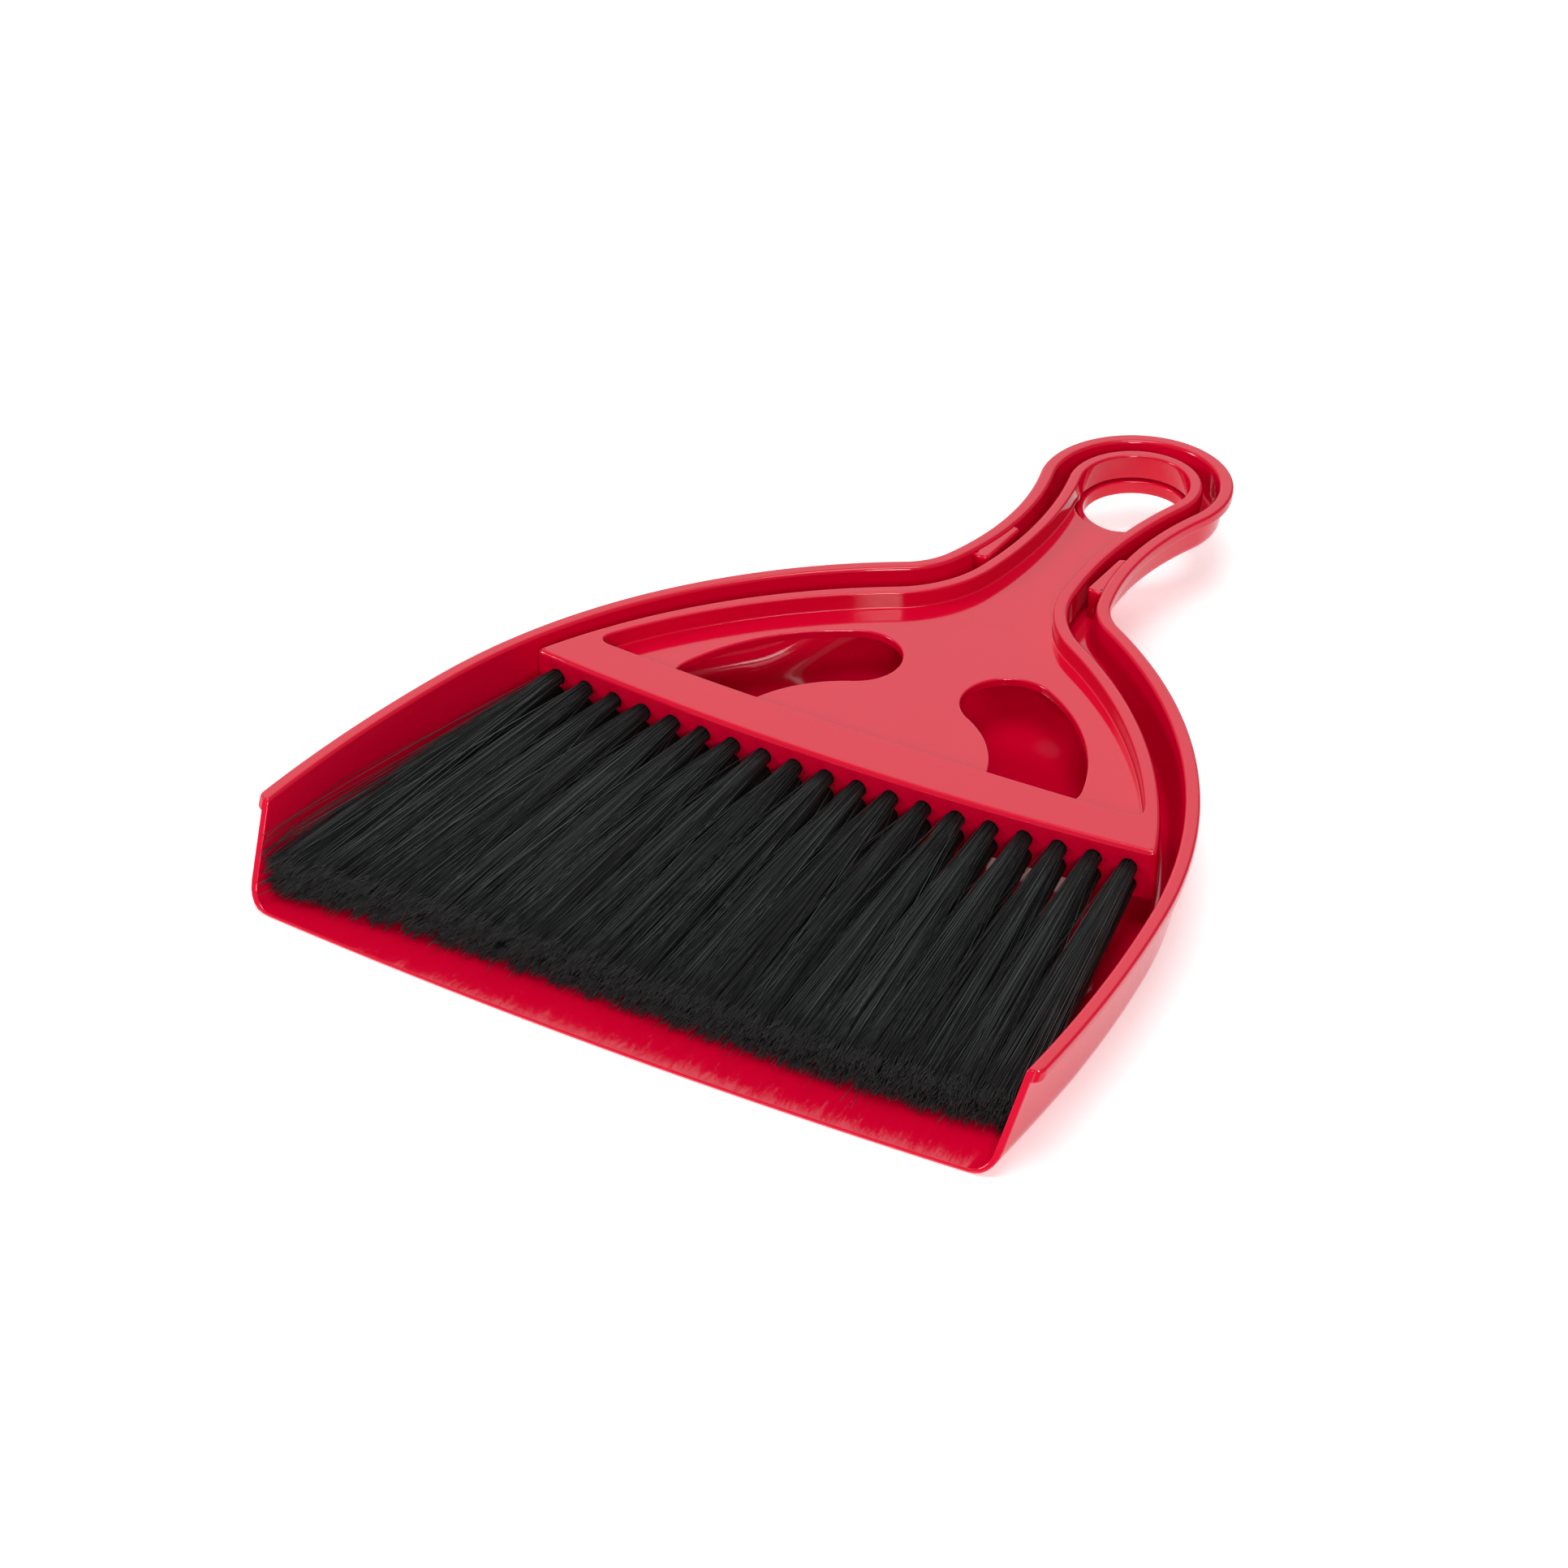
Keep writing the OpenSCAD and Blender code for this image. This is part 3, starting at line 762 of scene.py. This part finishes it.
def tuft(row, i, seed):
    """Hairs of one tuft, straight lines from the bore to the spread tip: begin + (finish - begin) t,
    with a slight lean of t (1 - t), a few strays on top, and a small kink at the cut end."""
    draw = np.random.default_rng(seed)
    turn, reach = draw.uniform(0, 2 * np.pi, HAIRS), np.sqrt(draw.uniform(0, 1, HAIRS))
    disc = np.column_stack([reach * np.cos(turn), reach * np.sin(turn)])
    start, end = root(row, i), tip(row, i)
    along = (end - start) / np.linalg.norm(end - start)
    begin = start + np.column_stack([disc[:, 0] * 2.0, np.zeros(HAIRS), disc[:, 1] * 2.0]) - along * 6
    # Neighbouring hairs cling together in locks, so the fan has streaks and gaps.
    turn, reach = draw.uniform(0, 2 * np.pi, LOCKS), np.sqrt(draw.uniform(0, 1, LOCKS))
    locks = np.column_stack([reach * np.cos(turn), reach * np.sin(turn)])
    nearest = ((disc[:, None] - locks) ** 2).sum(2).argmin(1)
    disc = 0.45 * disc + 0.55 * locks[nearest]
    spread = disc * [6.8, 3.0] + draw.normal(0, 1, (HAIRS, 2)) * [1.0, 0.35]
    stray = draw.uniform(0, 1, HAIRS) < (0.12, 0.02)[row]
    spread[stray, 1] += np.abs(draw.normal(0, 1.6 + 3 * (i == -9), stray.sum()))
    spread[stray, 0] += draw.normal(0, 7, stray.sum())
    length = draw.normal(0, 0.7, HAIRS) + (draw.uniform(0, 1, HAIRS) < 0.1) * draw.exponential(1.3, HAIRS)
    skew = 4.2 * (i / 9) ** 3
    finish = end + np.column_stack([spread[:, 0], skew - length, spread[:, 1]])
    t = HAIR_STEPS
    path = begin[:, None] * (1 - t)[None, :, None] + finish[:, None] * t[None, :, None]
    lean = draw.normal(0, 1, (HAIRS, 2)) * [1.0, 0.5] + [0, 1.0]
    path[..., [0, 2]] += lean[:, None] * (t * (1 - t) * 2)[None, :, None]
    path[:, -2:, ::2] += draw.normal(0, 1, (HAIRS, 2, 2)) * np.array([0.15, 0.55])[None, :, None]
    outside = path[..., 1] < start[1] - 2
    path[..., 2] = np.where(outside, np.maximum(path[..., 2], lowest(path) + HAIR_R + 0.1), path[..., 2])
    limit = np.interp(path[..., 1], row_y, pan_side[:, 0]) - wall_inset(path[..., 2]) - WALL - 0.4
    path[..., 0] = np.clip(path[..., 0], -limit, limit)
    # Painted light: a few hairs, picked at random, are painted pale as sheen streaks, and every hair is
    # painted darker near its root and at its cut end as shade.
    painted_sheen_and_shade = draw.uniform(0, 1, HAIRS)[:, None] ** 4 * (ease(t, 0, 0.3) - 0.85 * ease(t, 0.86, 0.97))[None]
    return *hair_tubes(path, HAIR_R * draw.uniform(0.85, 1.15, HAIRS)), np.repeat(painted_sheen_and_shade, 3)


filament = pet_filament()
for number, (row, i) in enumerate(places):
    name = f"tuft_{('top', 'bottom')[row]}_{i + TUFTS // 2 + 1}"
    points, quads, caps, painted_sheen_and_shade = tuft(row, i, 100 + number)
    mesh = bpy.data.meshes.new(name + "_hairs")
    points = points * MM + [0, LIP_Y * MM, 0]
    mesh.from_pydata(points.tolist(), [], quads.tolist() + caps.tolist())
    mesh.attributes.new("painted_sheen_and_shade", "FLOAT", "POINT").data.foreach_set("value", painted_sheen_and_shade)
    mesh.shade_smooth()
    mesh.materials.append(filament)
    hairs = bpy.data.objects.new(name + "_hairs", mesh)
    bpy.context.scene.collection.objects.link(hairs)
    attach(hairs, "brush")
    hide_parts(name)

# ---------------------------------------------------------------------------------------------
# Staples: short lengths of drawn steel strip that anchor the tufts at the bottoms of the bores.
# Their shape comes from the frame; they get a drawn steel surface.


def drawn_steel():
    """Zinc-coated steel strip, with fine lines along the drawing direction about 0.1 mm apart."""
    material, output = new_material("drawn_steel_strip")
    place = add_node(material, "ShaderNodeTexCoord").outputs["Object"]
    stretched = add_node(material, "ShaderNodeMapping", {
        "Scale": (0.08, 1, 1)}, {"Vector": place}).outputs[0]
    lines = add_node(material, "ShaderNodeTexNoise", {
        "Scale": 1 / (0.1 * MM), "Detail": 2.0}, {"Vector": stretched})
    rough = add_node(material, "ShaderNodeMapRange", {"To Min": 0.25, "To Max": 0.45}, {
        "Value": lines.outputs["Fac"]}).outputs[0]
    bump = add_node(material, "ShaderNodeBump", {"Strength": 0.2, "Distance": 0.01 * MM}, {
        "Height": lines.outputs["Fac"]})
    shader = add_node(material, "ShaderNodeBsdfPrincipled", {
        "Base Color": linear("#b9bbbd"), "Metallic": 1.0}, {"Roughness": rough, "Normal": bump.outputs[0]})
    material.node_tree.links.new(shader.outputs[0], output.inputs["Surface"])
    return material


steel = drawn_steel()
for node in ("staples_top", "staples_bottom"):
    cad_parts[node].data.materials.clear()
    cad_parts[node].data.materials.append(steel)

# ---------------------------------------------------------------------------------------------
# Stage: an opal light table, softly lit from below, under a bright softbox. A wide white panel
# stands behind the set, and two small lamps, in front and to the left, fill the near faces.
TABLE_HALF = 6
TABLE_Z = -0.2                              # a hair below the pan, so that no two faces coincide


def opal_acrylic():
    """Opal acrylic of the light table: white, matte, glowing faintly, with a barely visible mottling."""
    material, output = new_material("acrylic_opal_table")
    place = add_node(material, "ShaderNodeTexCoord").outputs["Object"]
    mottle = add_node(material, "ShaderNodeTexNoise", {"Scale": 8.0}, {"Vector": place})
    tint = add_node(material, "ShaderNodeMix", {"A": linear("#f8f8f8"), "B": linear("#fbfbfb")}, {
        "Factor": mottle.outputs["Fac"]}, data_type="RGBA")
    shader = add_node(material, "ShaderNodeBsdfPrincipled", {
        "Roughness": 0.9, "Specular IOR Level": 0.1, "Emission Color": (1, 1, 1, 1),
        "Emission Strength": 0.35}, {"Base Color": tint.outputs["Result"]})
    material.node_tree.links.new(shader.outputs[0], output.inputs["Surface"])
    return material


floor_mesh = bpy.data.meshes.new("floor")
table_corners = [
    (x * TABLE_HALF, y * TABLE_HALF, TABLE_Z * MM) for x, y in ((-1, -1), (1, -1), (1, 1), (-1, 1))]
floor_mesh.from_pydata(table_corners, [], [(0, 1, 2, 3)])
floor_mesh.materials.append(opal_acrylic())
floor = bpy.data.objects.new("floor", floor_mesh)
bpy.context.scene.collection.objects.link(floor)


def softbox(name, place, size, radiance):
    """A square lamp facing the set, of an even radiance: its power is radiance times pi size^2."""
    data = bpy.data.lights.new(name, "AREA")
    data.size = size
    data.energy = radiance * math.pi * size ** 2
    lamp = bpy.data.objects.new(name, data)
    lamp.location = place
    lamp.rotation_euler = (-Vector(place)).to_track_quat("-Z", "Y").to_euler()
    bpy.context.scene.collection.objects.link(lamp)


softbox("softbox_above", (0.1, -0.15, 1.6), 0.8, 5.2)
softbox("panel_behind", (-1.1, 1.8, 1.35), 2.4, 1.0)
softbox("fill_front", (1.0, -1.5, 0.95), 0.5, 20.0)
softbox("fill_left", (-1.5, -1.0, 0.95), 0.45, 20.0)
world = bpy.data.worlds.new("studio")
world.use_nodes = True
world.node_tree.nodes["Background"].inputs["Color"].default_value = (1, 1, 1, 1)
world.node_tree.nodes["Background"].inputs["Strength"].default_value = 0.22
bpy.context.scene.world = world
bpy.context.scene.view_settings.view_transform = "Standard"
